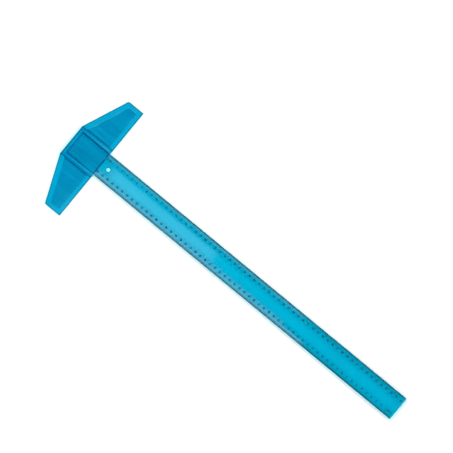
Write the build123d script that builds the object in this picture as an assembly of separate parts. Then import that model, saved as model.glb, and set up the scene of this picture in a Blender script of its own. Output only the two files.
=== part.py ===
from build123d import *
import os

# A drafting T-square of translucent plastic: a ruler blade pushed into the sleeve of a bonded two-part head.
# X runs along the blade, away from the head. Y runs along the head, and Z is up.
# The origin is the middle of the working edge, halfway up the base plate's front face.

# Head outline, in mm
HEAD_LENGTH = 210.0
HEAD_DEPTH = 62.0
TIP_DEPTH = 30.0
TIP_CORNER_RADIUS = 3.5
BACK_CORNER_RADIUS = 1.5
SLEEVE_WIDTH = 56.0

# Base plate: the lower moulding, which hangs below the blade so that it bears on the drawing board's edge.
# It has a window under the sleeve, with a ledge all round that carries the blade.
BASE_THICKNESS = 3.0
BASE_EDGE_ROUND = 0.4
WINDOW_LEDGE = 2.5
WINDOW_CORNER_RADIUS = 2.0

# Cover: the upper moulding, a raised panel on each wing and the sleeve between them
PANEL_THICKNESS = 2.5
PANEL_FRONT_BORDER = 7.4
PANEL_TIP_BORDER = 7.2
PANEL_SLANT_BORDER = 8.5
PANEL_CORNER_RADIUS = 2.0
PANEL_EDGE_BEVEL = 0.8
SLEEVE_ROOF = 1.0
SLEEVE_STEP = 0.5
SLEEVE_SIDE_BEVEL = 6.4
SLEEVE_BACK_BEVEL = 5.0
MOUTH_SETBACK = 0.5
MOUTH_LIP_BEVEL = 0.6

# Blade
BLADE_WIDTH = 42.0
BLADE_EXPOSED = 607.0
BLADE_INSERTED = 56.0
BLADE_THICKNESS = 3.0
BLADE_EDGE_THICKNESS = 1.8
BLADE_FLAT_HALF_WIDTH = 8.5
BLADE_SHOULDER_HALF_WIDTH = 14.5
BLADE_SHOULDER_DROP = 0.2
BLADE_CORNER_RADIUS = 2.0
BLADE_EDGE_ROUND = 0.3
STRIP_START = 24.0
STRIP_END = 593.0
STRIP_WIDTH = 15.0
STRIP_DEPTH = 0.5
STRIP_CORNER_RADIUS = 3.0
STRIP_WALL_BEVEL = 0.4
HANG_HOLE_X = 13.5
HANG_HOLE_RADIUS = 3.2
HANG_HOLE_BEVEL = 0.3

# Fit of the blade in the sleeve
FLOOR_GAP = 0.25
SIDE_GAP = 0.3
ROOF_GAP = 0.3
STOP_GAP = 0.2
LEAD_IN = 1.2
GRIP_RIB_WIDTH = 0.9
GRIP_RIB_HEIGHT = 0.15
GRIP_RIB_SETBACK = 4.0

# Overlap of solids that are joined, reach of solids that cut, and the tolerance when edges are picked
PANEL_OVERLAP = 1.0
CUT_REACH = 1.0
TOLERANCE = 0.01

# Levels and places that follow from them
BASE_BOTTOM = -BASE_THICKNESS / 2
BASE_TOP = BASE_THICKNESS / 2
PANEL_TOP = BASE_TOP + PANEL_THICKNESS
SLEEVE_FOOT = PANEL_TOP + SLEEVE_STEP
BLADE_BOTTOM = BASE_TOP + FLOOR_GAP
BLADE_TOP = BLADE_BOTTOM + BLADE_THICKNESS
POCKET_ROOF = BLADE_TOP + ROOF_GAP
POCKET_WIDTH = BLADE_WIDTH + 2 * SIDE_GAP
POCKET_DEPTH = BLADE_INSERTED + STOP_GAP
SLEEVE_TOP = POCKET_ROOF + SLEEVE_ROOF


def head_outline():
    """The head's plan shape: a straight front, short square tips and a slant from each tip to the back."""
    half = HEAD_LENGTH / 2
    back = SLEEVE_WIDTH / 2
    corners = [
        (0, half),
        (-TIP_DEPTH, half),
        (-HEAD_DEPTH, back),
        (-HEAD_DEPTH, -back),
        (-TIP_DEPTH, -half),
        (0, -half),
    ]
    outline = make_face(Polyline(*corners, close=True))
    tips = [v for v in outline.vertices() if abs(v.X + TIP_DEPTH) < TOLERANCE]
    outline = fillet(tips, TIP_CORNER_RADIUS)
    backs = [v for v in outline.vertices() if abs(v.X + HEAD_DEPTH) < TOLERANCE]
    return fillet(backs, BACK_CORNER_RADIUS)


def edges_at(solid, height):
    """The edges that lie wholly at one height."""
    return [e for e in solid.edges() if all(abs(v.Z - height) < TOLERANCE for v in e.vertices())]


def head_base():
    """The lower moulding: a flat plate with eased edges, a window under the sleeve and two grip ribs."""
    plate = extrude(Plane.XY.offset(BASE_BOTTOM) * head_outline(), BASE_THICKNESS)
    plate = fillet(edges_at(plate, BASE_BOTTOM) + edges_at(plate, BASE_TOP), BASE_EDGE_ROUND)
    plate -= window()
    for rib in grip_ribs():
        plate += rib
    return plate


def window():
    """The opening in the base plate under the sleeve."""
    length = POCKET_DEPTH - 2 * WINDOW_LEDGE
    width = POCKET_WIDTH - 2 * WINDOW_LEDGE
    shape = Pos(-WINDOW_LEDGE - length / 2, 0) * RectangleRounded(length, width, WINDOW_CORNER_RADIUS)
    return extrude(Plane.XY.offset(BASE_BOTTOM) * shape, BASE_THICKNESS)


def wing_panel():
    """The raised panel of the +Y wing, which follows the outline inside an even border."""
    slant = Vector(TIP_DEPTH - HEAD_DEPTH, SLEEVE_WIDTH / 2 - HEAD_LENGTH / 2).normalized()
    inward = Vector(-slant.Y, slant.X)
    start = Vector(-TIP_DEPTH, HEAD_LENGTH / 2) + inward * PANEL_SLANT_BORDER
    root_y = SLEEVE_WIDTH / 2 - PANEL_OVERLAP
    tip_y = HEAD_LENGTH / 2 - PANEL_TIP_BORDER

    def slant_x(y):
        return start.X + slant.X * (y - start.Y) / slant.Y

    corners = [
        (-PANEL_FRONT_BORDER, root_y),
        (-PANEL_FRONT_BORDER, tip_y),
        (slant_x(tip_y), tip_y),
        (slant_x(root_y), root_y),
    ]
    shape = make_face(Polyline(*corners, close=True))
    shape = fillet([v for v in shape.vertices() if abs(v.Y - tip_y) < TOLERANCE], PANEL_CORNER_RADIUS)
    panel = extrude(Plane.XY.offset(BASE_TOP) * shape, PANEL_THICKNESS)
    rim = [e for e in edges_at(panel, PANEL_TOP) if e.center().Y > root_y + TOLERANCE]
    return chamfer(rim, PANEL_EDGE_BEVEL)


def sleeve_block():
    """The sleeve before its pocket is cut: bevelled along both sides and across the back."""
    half = SLEEVE_WIDTH / 2
    top_half = half - SLEEVE_SIDE_BEVEL
    section = Polyline(
        (half, BASE_TOP),
        (half, SLEEVE_FOOT),
        (top_half, SLEEVE_TOP),
        (-top_half, SLEEVE_TOP),
        (-half, SLEEVE_FOOT),
        (-half, BASE_TOP),
        close=True,
    )
    block = extrude(Plane.YZ.offset(-HEAD_DEPTH) * make_face(section), HEAD_DEPTH - MOUTH_SETBACK)
    back_wedge = Polyline(
        (-HEAD_DEPTH, SLEEVE_FOOT),
        (-HEAD_DEPTH + SLEEVE_BACK_BEVEL, SLEEVE_TOP),
        (-HEAD_DEPTH + SLEEVE_BACK_BEVEL, SLEEVE_TOP + CUT_REACH),
        (-HEAD_DEPTH - CUT_REACH, SLEEVE_TOP + CUT_REACH),
        (-HEAD_DEPTH - CUT_REACH, SLEEVE_FOOT),
        close=True,
    )
    block -= extrude(Plane.XZ * make_face(back_wedge), SLEEVE_WIDTH, both=True)
    lip = [
        e
        for e in edges_at(block, SLEEVE_TOP)
        if all(abs(v.X + MOUTH_SETBACK) < TOLERANCE for v in e.vertices())
    ]
    return chamfer(lip, MOUTH_LIP_BEVEL)


def pocket():
    """The space that the blade slides into, flared at its mouth."""
    length = POCKET_DEPTH - MOUTH_SETBACK
    height = POCKET_ROOF - BASE_TOP
    middle = (-MOUTH_SETBACK - length / 2, 0, BASE_TOP + height / 2)
    straight = Pos(*middle) * Box(length, POCKET_WIDTH, height)
    half = POCKET_WIDTH / 2
    flare = Polyline(
        (-MOUTH_SETBACK, half + LEAD_IN),
        (-MOUTH_SETBACK - LEAD_IN, half),
        (-MOUTH_SETBACK - LEAD_IN, -half),
        (-MOUTH_SETBACK, -half - LEAD_IN),
        close=True,
    )
    return straight + extrude(Plane.XY.offset(BASE_TOP) * make_face(flare), height)


def grip_ribs():
    """A low rib along the ledge on each side of the window. The two grip the blade's edges."""
    length = POCKET_DEPTH - 2 * GRIP_RIB_SETBACK
    foot = GRIP_RIB_WIDTH / 2
    crest = foot - GRIP_RIB_HEIGHT
    section = Polyline(
        (foot, BASE_TOP - GRIP_RIB_HEIGHT),
        (foot, BASE_TOP),
        (crest, BASE_TOP + GRIP_RIB_HEIGHT),
        (-crest, BASE_TOP + GRIP_RIB_HEIGHT),
        (-foot, BASE_TOP),
        (-foot, BASE_TOP - GRIP_RIB_HEIGHT),
        close=True,
    )
    rib = extrude(Plane.YZ.offset(-POCKET_DEPTH + GRIP_RIB_SETBACK) * make_face(section), length)
    ledge_middle = (POCKET_WIDTH - WINDOW_LEDGE) / 2
    return [Pos(0, side * ledge_middle) * rib for side in (1, -1)]


def head_cover():
    """The upper moulding: the two wing panels and the sleeve, in one piece."""
    panel = wing_panel()
    cover = sleeve_block() + panel + mirror(panel, about=Plane.XZ)
    cover -= pocket()
    return cover & extrude(Plane.XY.offset(BASE_TOP) * head_outline(), SLEEVE_TOP - BASE_TOP)


def blade():
    """The rule: gently sloped shoulders, bevelled long edges, a sunk centre strip and a hang hole."""
    half = BLADE_WIDTH / 2
    edge_top = BLADE_BOTTOM + BLADE_EDGE_THICKNESS
    shoulder_top = BLADE_TOP - BLADE_SHOULDER_DROP
    section = Polyline(
        (half, BLADE_BOTTOM),
        (half, edge_top),
        (BLADE_SHOULDER_HALF_WIDTH, shoulder_top),
        (BLADE_FLAT_HALF_WIDTH, BLADE_TOP),
        (-BLADE_FLAT_HALF_WIDTH, BLADE_TOP),
        (-BLADE_SHOULDER_HALF_WIDTH, shoulder_top),
        (-half, edge_top),
        (-half, BLADE_BOTTOM),
        close=True,
    )
    rule = extrude(Plane.YZ.offset(-BLADE_INSERTED) * make_face(section), BLADE_INSERTED + BLADE_EXPOSED)
    rule = fillet([e for e in rule.edges().filter_by(Axis.Z)], BLADE_CORNER_RADIUS)
    rule = fillet(edges_at(rule, BLADE_BOTTOM), BLADE_EDGE_ROUND)
    rule -= centre_strip()
    return rule - hang_hole()


def centre_strip():
    """The space of the sunk strip, with sloping walls."""
    middle_x = (STRIP_START + STRIP_END) / 2
    length = STRIP_END - STRIP_START
    top = Plane.XY.offset(BLADE_TOP)
    shape = top * Pos(middle_x, 0) * RectangleRounded(length, STRIP_WIDTH, STRIP_CORNER_RADIUS)
    tool = extrude(shape, -STRIP_DEPTH)
    return chamfer(edges_at(tool, BLADE_TOP - STRIP_DEPTH), STRIP_WALL_BEVEL)


def hang_hole():
    """The space of the hang hole, with a bevel at each rim."""
    middle = (HANG_HOLE_X, 0, BLADE_BOTTOM + BLADE_THICKNESS / 2)
    hole = Pos(*middle) * Cylinder(HANG_HOLE_RADIUS, BLADE_THICKNESS)
    wide = HANG_HOLE_RADIUS + HANG_HOLE_BEVEL
    lift = BLADE_THICKNESS / 2 - HANG_HOLE_BEVEL / 2
    upper = Pos(*middle) * Pos(0, 0, lift) * Cone(HANG_HOLE_RADIUS, wide, HANG_HOLE_BEVEL)
    lower = Pos(*middle) * Pos(0, 0, -lift) * Cone(wide, HANG_HOLE_RADIUS, HANG_HOLE_BEVEL)
    return hole + upper + lower


PARTS = {
    "head_base": head_base,
    "head_cover": head_cover,
    "blade": blade,
}

os.makedirs("parts", exist_ok=True)
for node, make in PARTS.items():
    export_step(make(), f"parts/{node}.step")
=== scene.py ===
"""A clear blue drafting T-square on a pale floor, seen from above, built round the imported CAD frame."""
import math

import bmesh
import bpy
from mathutils import Matrix, Vector


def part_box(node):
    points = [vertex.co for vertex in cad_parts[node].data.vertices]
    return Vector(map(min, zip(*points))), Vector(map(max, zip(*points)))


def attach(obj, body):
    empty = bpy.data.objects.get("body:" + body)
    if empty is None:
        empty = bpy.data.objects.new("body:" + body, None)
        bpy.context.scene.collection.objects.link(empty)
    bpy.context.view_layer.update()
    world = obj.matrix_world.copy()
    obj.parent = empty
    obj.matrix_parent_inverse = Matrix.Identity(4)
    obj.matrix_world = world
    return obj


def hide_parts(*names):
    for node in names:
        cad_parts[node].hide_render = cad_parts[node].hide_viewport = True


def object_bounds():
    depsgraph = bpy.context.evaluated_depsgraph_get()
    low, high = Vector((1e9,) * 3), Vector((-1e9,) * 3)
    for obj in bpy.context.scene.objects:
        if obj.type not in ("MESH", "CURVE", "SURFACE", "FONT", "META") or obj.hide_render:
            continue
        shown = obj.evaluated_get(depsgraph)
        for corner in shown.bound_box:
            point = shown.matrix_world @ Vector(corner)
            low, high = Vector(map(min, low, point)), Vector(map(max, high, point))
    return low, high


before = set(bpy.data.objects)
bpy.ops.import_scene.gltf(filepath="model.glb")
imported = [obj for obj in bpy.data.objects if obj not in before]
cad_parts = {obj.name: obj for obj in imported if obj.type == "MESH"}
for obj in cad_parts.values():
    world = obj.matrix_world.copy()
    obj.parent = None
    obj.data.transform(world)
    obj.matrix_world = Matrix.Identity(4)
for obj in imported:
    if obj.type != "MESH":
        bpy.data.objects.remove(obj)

MM = 0.001
CAD_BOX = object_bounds()
BLADE_LOW, BLADE_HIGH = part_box("blade")
BASE_LOW, BASE_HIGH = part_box("head_base")
BOND_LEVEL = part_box("head_cover")[0].z

# The blade's section, which the printing follows
BLADE_HALF_WIDTH = BLADE_HIGH.y
FLAT_HALF_WIDTH = 8.5 * MM
SHOULDER_HALF_WIDTH = 14.5 * MM
SHOULDER_TOP = BLADE_HIGH.z - 0.2 * MM
EDGE_TOP = BLADE_LOW.z + 1.8 * MM

# The head's plan, which its materials follow
HEAD_HALF = BASE_HIGH.y
HEAD_DEPTH = -BASE_LOW.x
TIP_DEPTH = 30.0 * MM
SLEEVE_HALF = 28.0 * MM
SLEEVE_BACK_TOP = 57.0 * MM
POCKET_HALF = 21.3 * MM

# The blade's sunk strip and hang hole, which its material follows
STRIP_HALF = 7.1 * MM
STRIP_MIDDLE = 308.5 * MM
STRIP_HALF_LENGTH = 284.1 * MM
HANG_HOLE_X = 13.5 * MM
HANG_HOLE_RADIUS = 3.2 * MM

# The air at the bond between base and cover, and how near the bond a vertex must be to belong to it
BOND_AIR = 0.06 * MM
BOND_TOLERANCE = 0.01 * MM

# Printed scales
SCALE_ZERO = 2.0 * MM
SCALE_LENGTH_CM = 60
CM = 10 * MM
INK_THICKNESS = 0.03 * MM
INK_LIFT = 0.02 * MM
TICK_WIDTH = 0.42 * MM
TICK_MARGIN = 0.5 * MM
TICK_LENGTHS = {10: 4.6 * MM, 5: 3.6 * MM, 1: 2.7 * MM}
NUMBER_MIDDLE = 12.5 * MM
NUMBER_HEIGHT = 4.0 * MM
NUMBER_NARROWING = 0.72
NUMBER_BOLDNESS = 0.20 * MM
DIGIT_SHARE_OF_SIZE = 0.73
CURVE_STEPS = 3
UNIT_PLACE = 5.2 * MM

# The colour of each plastic at one of its surfaces, as red, green and blue. Light crosses two per body.
BASE_TINT = (0.001, 0.49, 0.726)
COVER_TINT = (0.20, 0.93, 0.94)
BLADE_TINT = (0.001, 0.50, 0.705)
HANDLED_SHARE = 0.94
REFRACTIVE_INDEX = 1.49
GLOSS_ROUGHNESS = (0.04, 0.09)

# What lamps' straight rays keep of their colour at each surface
LAMP_TINT = (0.45, 0.92, 0.97, 1.0)

# Tint changes tied to the shape, along a line or in a region: how far each fades, and what multiplies the
# tint. All but the sunk strip's paler tint are painted light and shade: below 1 it is painted shade for light
# lost at edges, walls and bevels; on the ledges, above 1, it is painted light
OUTLINE_PAINTED_SHADE = (2.6 * MM, (0.6, 0.24, 0.27))
LEDGE_PAINTED_LIGHT = (0.8 * MM, (1.0, 1.40, 1.22))
POCKET_PAINTED_SHADE = (0.4 * MM, (0.4, 0.92, 0.96))
SLEEVE_SIDE_PAINTED_SHADE = (3.2 * MM, (0.3, 0.50, 0.60))
SLEEVE_BACK_PAINTED_SHADE = (1.8 * MM, (0.4, 0.88, 0.92))
HEAD_BACK_PAINTED_SHADE = (4.5 * MM, (0.8, 0.66, 0.60))
STRIP = (0.4 * MM, (1.22, 1.08, 1.047))
HOLE_RIM_PAINTED_SHADE = (2.0 * MM, (0.5, 0.36, 0.42))
# Painted shade along the blade's long edges, standing in for light lost there: weaker on the length the head
# holds at rest, deeper in the open
BLADE_EDGE_SHADE_FADE = 2.8 * MM
HELD_LENGTH_SHADE_FADE = 3.0 * MM
HELD_EDGE_PAINTED_SHADE = (0.7, 0.50, 0.56)
OPEN_EDGE_PAINTED_SHADE = (0.5, 0.13, 0.14)

# Noises, as a scale per metre, a detail and a stretch along each axis
HANDLING = (22.0, 6.0, (1, 1, 1))
SCRATCHES = (900.0, 3.0, (0.05, 1, 1))
RIPPLE = (60.0, 2.0, (0.3, 1, 1))
STREAKS = (150.0, 2.0, (0.04, 1, 1))
INK_GRAIN = (2500.0, 3.0, (1, 1, 1))

# How each noise shows: the share of its range that counts, and what it leads to
SCRATCH_RANGE = (0.45, 0.75)
RIPPLE_STRENGTH = 0.06
RIPPLE_DEPTH = 0.2 * MM
STREAK_RANGE = (0.40, 0.60)
STREAK_LOW = (0.80, 0.87, 0.90, 1)

# Ink and floor
INK_THIN = (0.0, 0.045, 0.07, 1)
INK_DENSE = (0.0, 0.02, 0.035, 1)
INK_ROUGHNESS = (0.6, 0.8)
INK_SPECULAR = 0.1
FLOOR_HALF = 20.0
FLOOR_GAP = 0.15 * MM
FLOOR_COLOUR = (0.9, 0.9, 0.9, 1)

# The view, which looks down on the object with the blade running to the lower right
VIEW_SPAN = 0.7153
VIEW_CENTRE = Vector((0.2143, 0.0506, 0.0))
BLADE_ANGLE = math.radians(-39.5)
CAMERA_TILT = math.radians(7.0)
CAMERA_DISTANCE = 3.0
CAMERA_REACH = 100

# Lamps. A sun has an azimuth from +X towards +Y, an elevation, both in degrees, and a strength.
SUN_SPREAD = math.radians(25)
SUNS = {
    "key": (55, 48, 1.55),
    "fill_left": (150, 45, 1.05),
    "fill_right": (330, 45, 0.95),
    "fill_front": (235, 46, 1.05),
}
# A glare panel has two corners in plan and a radiance. Its reflection lies on the blade near the head.
GLARE_HEIGHT = 1.2
GLARE_PANELS = {
    "glare_strip": ((0.02, 0.10), (0.23, 0.16), 1.0),
    "glare_shoulder": ((0.0, 0.0), (0.38, 0.09), 1.0),
    "glare_lower": ((-0.02, -0.32), (0.42, -0.10), 2.0),
    "glare_upper": ((0.0, 0.40), (0.40, 0.66), 0.8),
}
NEAR_LIGHT = ((-0.15, -0.20), (0.42, 0.20), 0.35)
NEAR_LIGHT_HEIGHT = 0.35
SURROUND_RADIANCE = 0.01
BACKDROP_RADIANCE = 1.0


# ---------------------------------------------------------------- materials

def node_tree(name):
    """A new material with an empty node tree and an output node."""
    material = bpy.data.materials.new(name)
    material.use_nodes = True
    tree = material.node_tree
    tree.nodes.clear()
    output = tree.nodes.new("ShaderNodeOutputMaterial")
    return material, tree, output


def noise(tree, scale, detail, stretch):
    """A noise texture in object space, stretched along the axes."""
    place = tree.nodes.new("ShaderNodeTexCoord")
    mapping = tree.nodes.new("ShaderNodeMapping")
    mapping.inputs["Scale"].default_value = stretch
    texture = tree.nodes.new("ShaderNodeTexNoise")
    texture.inputs["Scale"].default_value = scale
    texture.inputs["Detail"].default_value = detail
    tree.links.new(place.outputs["Object"], mapping.inputs["Vector"])
    tree.links.new(mapping.outputs["Vector"], texture.inputs["Vector"])
    return texture


def ramp(tree, source, low, high, start=0.3, end=0.7):
    """A colour ramp from low to high, as the source goes from start to end."""
    node = tree.nodes.new("ShaderNodeValToRGB")
    node.color_ramp.elements[0].position = start
    node.color_ramp.elements[0].color = low
    node.color_ramp.elements[1].position = end
    node.color_ramp.elements[1].color = high
    tree.links.new(source.outputs["Fac"], node.inputs["Fac"])
    return node.outputs["Color"]


def grey(value):
    return (value, value, value, 1.0)


def calculate(tree, operation, first, second=None):
    """One arithmetic step. Each operand is a socket or a number."""
    node = tree.nodes.new("ShaderNodeMath")
    node.operation = operation
    for place, operand in enumerate((first, second)):
        if isinstance(operand, (int, float)):
            node.inputs[place].default_value = operand
        elif operand is not None:
            tree.links.new(operand, node.inputs[place])
    return node.outputs[0]


def plan_position(tree):
    """The shaded point's x, and its distance from the centre line, in the object's own space."""
    place = tree.nodes.new("ShaderNodeTexCoord")
    split = tree.nodes.new("ShaderNodeSeparateXYZ")
    tree.links.new(place.outputs["Object"], split.inputs[0])
    return split.outputs[0], calculate(tree, "ABSOLUTE", split.outputs[1])


def within(tree, distance, fade):
    """A mask: 1 where the distance is zero or less, falling smoothly to 0 as it grows to the fade."""
    node = tree.nodes.new("ShaderNodeMapRange")
    node.interpolation_type = "SMOOTHSTEP"
    node.inputs["From Min"].default_value = 0.0
    node.inputs["From Max"].default_value = fade
    node.inputs["To Min"].default_value = 1.0
    node.inputs["To Max"].default_value = 0.0
    tree.links.new(distance, node.inputs["Value"])
    return node.outputs["Result"]


def distance_from(tree, coordinate, place):
    """How far a coordinate is from a value, either way."""
    return calculate(tree, "ABSOLUTE", calculate(tree, "SUBTRACT", coordinate, place))


def outline_distance(tree, x, y):
    """How far a point lies inside the head's outline."""
    slant = Vector((HEAD_DEPTH - TIP_DEPTH, HEAD_HALF - SLEEVE_HALF)).normalized()
    from_back = calculate(tree, "ADD", x, HEAD_DEPTH)
    along = calculate(tree, "MULTIPLY", from_back, slant.y)
    across = calculate(tree, "MULTIPLY", calculate(tree, "SUBTRACT", y, SLEEVE_HALF), slant.x)
    from_slant = calculate(tree, "SUBTRACT", along, across)
    from_front = calculate(tree, "MULTIPLY", x, -1.0)
    from_tip = calculate(tree, "SUBTRACT", HEAD_HALF, y)
    front_or_back = calculate(tree, "MINIMUM", from_front, from_back)
    return calculate(tree, "MINIMUM", front_or_back, calculate(tree, "MINIMUM", from_tip, from_slant))


def multiply_node(tree, colour):
    """A node that multiplies the colour by a second one, and that second colour's input."""
    mix = tree.nodes.new("ShaderNodeMix")
    mix.data_type = "RGBA"
    mix.blend_type = "MULTIPLY"
    mix.inputs["Factor"].default_value = 1.0
    tree.links.new(colour, mix.inputs[6])
    return mix, mix.inputs[7]


def shaded(tree, colour, mask, amount):
    """The colour multiplied by the amount where the mask is 1."""
    mix, second = multiply_node(tree, colour)
    tree.links.new(mask, mix.inputs["Factor"])
    second.default_value = (*amount, 1.0)
    return mix.outputs[2]


def base_colour(tree, tint):
    """The base plate's tint, with painted shade along its outline and painted light on the ledges under the
    sleeve.
    """
    x, y = plan_position(tree)
    # Painted light on the ledges under the sleeve, then painted shade along the head's outline
    ledge_fade, ledge_light_amount = LEDGE_PAINTED_LIGHT
    under_sleeve = within(tree, calculate(tree, "SUBTRACT", y, POCKET_HALF), ledge_fade)
    ledge_light = calculate(tree, "MULTIPLY", under_sleeve, within(tree, x, ledge_fade))
    fade, amount = OUTLINE_PAINTED_SHADE
    outline = within(tree, outline_distance(tree, x, y), fade)
    return shaded(tree, shaded(tree, tint, ledge_light, ledge_light_amount), outline, amount)


def cover_colour(tree, tint):
    """The cover's tint with streaks along X, and painted shade over the pocket, along the sleeve's sides and
    back, and along the head's back edge.
    """
    x, y = plan_position(tree)
    streaks = ramp(tree, noise(tree, *STREAKS), STREAK_LOW, grey(1), *STREAK_RANGE)
    mix, second = multiply_node(tree, tint)
    tree.links.new(streaks, second)
    colour = mix.outputs[2]
    # Painted shade over the pocket, along the sleeve's sides and back, and along the head's back edge
    for distance, (fade, amount) in (
        (calculate(tree, "SUBTRACT", y, POCKET_HALF), POCKET_PAINTED_SHADE),
        (distance_from(tree, y, SLEEVE_HALF), SLEEVE_SIDE_PAINTED_SHADE),
        (distance_from(tree, x, -SLEEVE_BACK_TOP), SLEEVE_BACK_PAINTED_SHADE),
        (distance_from(tree, x, -HEAD_DEPTH), HEAD_BACK_PAINTED_SHADE),
    ):
        colour = shaded(tree, colour, within(tree, distance, fade), amount)
    return colour


def blade_colour(tree, tint):
    """The blade's tint: paler in the sunk strip, with painted shade round the hole and along the long edges.

    The painted shade along the edges is deeper where they lie in the open than on the length that the head
    holds at rest.
    """
    x, y = plan_position(tree)
    strip_fade, strip_amount = STRIP
    from_middle = distance_from(tree, x, STRIP_MIDDLE)
    along_strip = within(tree, calculate(tree, "SUBTRACT", from_middle, STRIP_HALF_LENGTH), strip_fade)
    across_strip = within(tree, calculate(tree, "SUBTRACT", y, STRIP_HALF), strip_fade)
    strip = calculate(tree, "MULTIPLY", across_strip, along_strip)
    colour = shaded(tree, tint, strip, strip_amount)

    # Painted shade along the long edges, weaker on the length the head holds at rest
    edge = within(tree, calculate(tree, "SUBTRACT", BLADE_HALF_WIDTH, y), BLADE_EDGE_SHADE_FADE)
    held_edge_shade = calculate(tree, "MULTIPLY", edge, within(tree, x, HELD_LENGTH_SHADE_FADE))
    open_edge_shade = calculate(tree, "SUBTRACT", edge, held_edge_shade)
    colour = shaded(tree, colour, held_edge_shade, HELD_EDGE_PAINTED_SHADE)
    colour = shaded(tree, colour, open_edge_shade, OPEN_EDGE_PAINTED_SHADE)

    # Painted shade round the hang hole
    from_hole = calculate(tree, "SUBTRACT", x, HANG_HOLE_X)
    squares = [calculate(tree, "MULTIPLY", side, side) for side in (from_hole, y)]
    radius = calculate(tree, "SQRT", calculate(tree, "ADD", *squares))
    rim_shade_fade, rim_shade_amount = HOLE_RIM_PAINTED_SHADE
    rim_shade = within(tree, distance_from(tree, radius, HANG_HOLE_RADIUS), rim_shade_fade)
    return shaded(tree, colour, rim_shade, rim_shade_amount)


def clear_plastic(name, tint, add_painted_shade):
    """Clear tinted plastic. The function passed in adds painted shade and painted light, tied to the part's
    own shape, to the tint.
    """
    material, tree, output = node_tree(name)
    shader = tree.nodes.new("ShaderNodeBsdfPrincipled")
    shader.inputs["Transmission Weight"].default_value = 1.0
    shader.inputs["IOR"].default_value = REFRACTIVE_INDEX

    handled = [HANDLED_SHARE * channel for channel in tint]
    worn = ramp(tree, noise(tree, *HANDLING), (*handled, 1), (*tint, 1))
    tree.links.new(add_painted_shade(tree, worn), shader.inputs["Base Color"])

    smooth, scratched = GLOSS_ROUGHNESS
    gloss = ramp(tree, noise(tree, *SCRATCHES), grey(smooth), grey(scratched), *SCRATCH_RANGE)
    tree.links.new(gloss, shader.inputs["Roughness"])

    bump = tree.nodes.new("ShaderNodeBump")
    bump.inputs["Strength"].default_value = RIPPLE_STRENGTH
    bump.inputs["Distance"].default_value = RIPPLE_DEPTH
    tree.links.new(noise(tree, *RIPPLE).outputs["Fac"], bump.inputs["Height"])
    tree.links.new(bump.outputs["Normal"], shader.inputs["Normal"])

    surface = shader.outputs[0]
    path = tree.nodes.new("ShaderNodeLightPath")
    for kind_of_ray in ("Is Diffuse Ray", "Is Shadow Ray"):
        straight = tree.nodes.new("ShaderNodeBsdfTransparent")
        straight.inputs["Color"].default_value = LAMP_TINT
        mix = tree.nodes.new("ShaderNodeMixShader")
        tree.links.new(path.outputs[kind_of_ray], mix.inputs[0])
        tree.links.new(surface, mix.inputs[1])
        tree.links.new(straight.outputs[0], mix.inputs[2])
        surface = mix.outputs[0]
    tree.links.new(surface, output.inputs["Surface"])
    return material


def printed_ink(name):
    """Dark blue ink, a little uneven and thin in places."""
    material, tree, output = node_tree(name)
    shader = tree.nodes.new("ShaderNodeBsdfPrincipled")
    grain = noise(tree, *INK_GRAIN)
    dense_roughness, thin_roughness = INK_ROUGHNESS
    tree.links.new(ramp(tree, grain, INK_DENSE, INK_THIN), shader.inputs["Base Color"])
    tree.links.new(ramp(tree, grain, grey(dense_roughness), grey(thin_roughness)), shader.inputs["Roughness"])
    shader.inputs["Specular IOR Level"].default_value = INK_SPECULAR
    tree.links.new(shader.outputs[0], output.inputs["Surface"])
    return material


def pale_floor(name):
    """The plain floor's even, matt white."""
    material, tree, output = node_tree(name)
    shader = tree.nodes.new("ShaderNodeBsdfDiffuse")
    shader.inputs["Color"].default_value = FLOOR_COLOUR
    tree.links.new(shader.outputs[0], output.inputs["Surface"])
    return material


# ---------------------------------------------------------------- pieces

def set_material(mesh, material):
    mesh.materials.clear()
    mesh.materials.append(material)


def add_object(name, mesh, material):
    piece = bpy.data.objects.new(name, mesh)
    set_material(mesh, material)
    bpy.context.scene.collection.objects.link(piece)
    return piece


def bonded_cover():
    """The cover with a hair of air at the bond, so that light crosses two separate surfaces there."""
    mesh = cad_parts["head_cover"].data.copy()
    for vertex in mesh.vertices:
        if abs(vertex.co.z - BOND_LEVEL) < BOND_TOLERANCE:
            vertex.co.z += BOND_AIR
    return mesh


def surface_height(y):
    """The height of the blade's scale face at a distance y from its centre line."""
    if y < SHOULDER_HALF_WIDTH:
        share = max(y - FLAT_HALF_WIDTH, 0) / (SHOULDER_HALF_WIDTH - FLAT_HALF_WIDTH)
        return BLADE_HIGH.z + share * (SHOULDER_TOP - BLADE_HIGH.z)
    share = (y - SHOULDER_HALF_WIDTH) / (BLADE_HALF_WIDTH - SHOULDER_HALF_WIDTH)
    return SHOULDER_TOP + share * (EDGE_TOP - SHOULDER_TOP)


def add_tick(mesh, x, side, length):
    """A thin closed bar across the bevel, from near the edge inwards."""
    outer = BLADE_HALF_WIDTH - TICK_MARGIN
    corners = []
    for y in (outer, outer - length):
        for dx in (-TICK_WIDTH / 2, TICK_WIDTH / 2):
            for lift in (INK_LIFT, INK_LIFT + INK_THICKNESS):
                corners.append(mesh.verts.new((x + dx, side * y, surface_height(y) + lift)))
    for face in ((0, 1, 3, 2), (4, 6, 7, 5), (0, 2, 6, 4), (1, 5, 7, 3), (0, 4, 5, 1), (2, 3, 7, 6)):
        mesh.faces.new([corners[i] for i in face])


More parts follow.
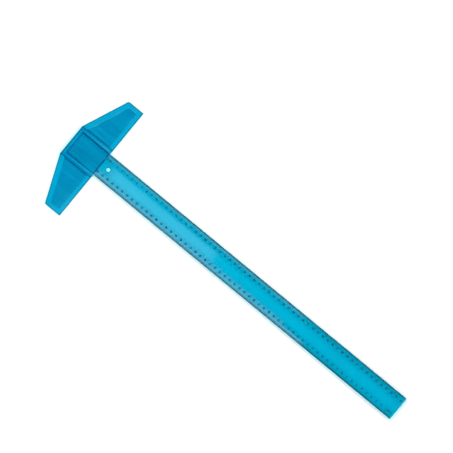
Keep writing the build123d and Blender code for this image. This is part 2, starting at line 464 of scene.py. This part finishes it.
def text_mesh(text):
    """The text as a thin closed mesh, centred on the origin along its line."""
    curve = bpy.data.curves.new("lettering", "FONT")
    curve.body = text
    curve.size = NUMBER_HEIGHT / DIGIT_SHARE_OF_SIZE
    curve.align_x = "CENTER"
    curve.resolution_u = CURVE_STEPS
    curve.extrude = INK_THICKNESS / 2
    curve.offset = NUMBER_BOLDNESS
    holder = bpy.data.objects.new("lettering", curve)
    bpy.context.scene.collection.objects.link(holder)
    bpy.context.view_layer.update()
    mesh = bpy.data.meshes.new_from_object(holder.evaluated_get(bpy.context.evaluated_depsgraph_get()))
    bpy.data.objects.remove(holder)
    bpy.data.curves.remove(curve)
    return mesh


def add_label(mesh, text, x, side):
    """Narrow text lying on the shoulder. On the -Y side it is turned round, to be read from that side."""
    letters = text_mesh(text)
    low = min(v.co.y for v in letters.vertices)
    high = max(v.co.y for v in letters.vertices)
    centre = Matrix.Translation((0, -(low + high) / 2, 0))
    narrow = Matrix.Diagonal((NUMBER_NARROWING, 1, 1, 1))
    rise = (BLADE_HIGH.z - SHOULDER_TOP) / (SHOULDER_HALF_WIDTH - FLAT_HALF_WIDTH)
    tilt = Matrix.Rotation(-math.atan(rise), 4, "X")
    turn = Matrix.Rotation(0 if side > 0 else math.pi, 4, "Z")
    level = surface_height(NUMBER_MIDDLE) + INK_LIFT + INK_THICKNESS / 2
    place = Matrix.Translation((x, side * NUMBER_MIDDLE, level))
    letters.transform(place @ turn @ tilt @ narrow @ centre)
    mesh.from_mesh(letters)
    bpy.data.meshes.remove(letters)


def printed_scale(side):
    """The graduations and numbers along one edge. The -Y scale is the +Y one turned half a turn."""
    mesh = bmesh.new()
    for mark in range(SCALE_LENGTH_CM * 10 + 1):
        length = next(TICK_LENGTHS[step] for step in TICK_LENGTHS if mark % step == 0)
        add_tick(mesh, SCALE_ZERO + mark * MM, side, length)
    far_zero = SCALE_ZERO + SCALE_LENGTH_CM * CM
    labels = [(str(number), number * CM) for number in range(SCALE_LENGTH_CM + 1)] + [("cm", UNIT_PLACE)]
    for text, distance in labels:
        x = SCALE_ZERO + distance if side > 0 else far_zero - distance
        add_label(mesh, text, x, side)
    name = "scale_print_" + ("upper" if side > 0 else "lower")
    result = bpy.data.meshes.new(name)
    mesh.to_mesh(result)
    mesh.free()
    return name, result


# ---------------------------------------------------------------- stage

def add_floor():
    """A wide plain floor just under the head."""
    mesh = bpy.data.meshes.new("floor")
    shape = bmesh.new()
    level = CAD_BOX[0].z - FLOOR_GAP
    signs = ((-1, -1), (1, -1), (1, 1), (-1, 1))
    shape.faces.new([shape.verts.new((x * FLOOR_HALF, y * FLOOR_HALF, level)) for x, y in signs])
    shape.to_mesh(mesh)
    shape.free()
    add_object("floor", mesh, pale_floor("floor_paper"))


def add_sun(name, azimuth, elevation, strength):
    """A distant soft light."""
    light = bpy.data.lights.new(name, "SUN")
    light.energy = strength
    light.angle = SUN_SPREAD
    lamp = bpy.data.objects.new(name, light)
    a, e = math.radians(azimuth), math.radians(elevation)
    source = Vector((math.cos(a) * math.cos(e), math.sin(a) * math.cos(e), math.sin(e)))
    lamp.rotation_mode = "QUATERNION"
    lamp.rotation_quaternion = source.to_track_quat("Z", "Y")
    bpy.context.scene.collection.objects.link(lamp)


def add_panel(name, low, high, radiance, height):
    """A soft lit panel, facing down, between two corners in plan."""
    light = bpy.data.lights.new(name, "AREA")
    light.shape = "RECTANGLE"
    light.size = high[0] - low[0]
    light.size_y = high[1] - low[1]
    light.energy = radiance * math.pi * light.size * light.size_y
    lamp = bpy.data.objects.new(name, light)
    lamp.location = ((low[0] + high[0]) / 2, (low[1] + high[1]) / 2, height)
    bpy.context.scene.collection.objects.link(lamp)
    return lamp


def add_world():
    """White behind the floor's edge as the camera sees it, nearly dark to every other ray."""
    world = bpy.data.worlds.new("studio")
    world.use_nodes = True
    tree = world.node_tree
    tree.nodes.clear()
    output = tree.nodes.new("ShaderNodeOutputWorld")
    path = tree.nodes.new("ShaderNodeLightPath")
    mix = tree.nodes.new("ShaderNodeMixShader")
    for place, radiance in ((1, SURROUND_RADIANCE), (2, BACKDROP_RADIANCE)):
        background = tree.nodes.new("ShaderNodeBackground")
        background.inputs["Color"].default_value = grey(radiance)
        tree.links.new(background.outputs[0], mix.inputs[place])
    tree.links.new(path.outputs["Is Camera Ray"], mix.inputs[0])
    tree.links.new(mix.outputs[0], output.inputs["Surface"])
    bpy.context.scene.world = world


def add_camera():
    """A camera without perspective, which looks down on the object and is tilted about the blade's axis."""
    data = bpy.data.cameras.new("camera")
    data.type = "ORTHO"
    data.ortho_scale = VIEW_SPAN
    data.clip_end = CAMERA_REACH
    camera = bpy.data.objects.new("camera", data)
    turn = Matrix.Rotation(CAMERA_TILT, 4, "X") @ Matrix.Rotation(-BLADE_ANGLE, 4, "Z")
    away = Matrix.Translation((0, 0, CAMERA_DISTANCE))
    camera.matrix_world = Matrix.Translation(VIEW_CENTRE) @ turn @ away
    bpy.context.scene.collection.objects.link(camera)
    bpy.context.scene.camera = camera


# ---------------------------------------------------------------- build

bpy.context.scene.view_settings.view_transform = "Standard"
add_camera()

set_material(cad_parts["head_base"].data, clear_plastic("base_plastic", BASE_TINT, base_colour))
set_material(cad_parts["blade"].data, clear_plastic("blade_plastic", BLADE_TINT, blade_colour))

cover_plastic = clear_plastic("cover_plastic", COVER_TINT, cover_colour)
cover = add_object("head_cover_bonded", bonded_cover(), cover_plastic)
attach(cover, "head")
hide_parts("head_cover")

ink = printed_ink("scale_ink")
for side in (1, -1):
    scale = add_object(*printed_scale(side), ink)
    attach(scale, "blade")

add_floor()
add_world()
for name, settings in SUNS.items():
    add_sun(name, *settings)
for name, settings in GLARE_PANELS.items():
    add_panel(name, *settings, GLARE_HEIGHT)
# This one only lights the floor and the plastic near the head: it isn't seen in any surface.
near_light = add_panel("near_light", *NEAR_LIGHT, NEAR_LIGHT_HEIGHT)
near_light.visible_glossy = False
near_light.visible_transmission = False
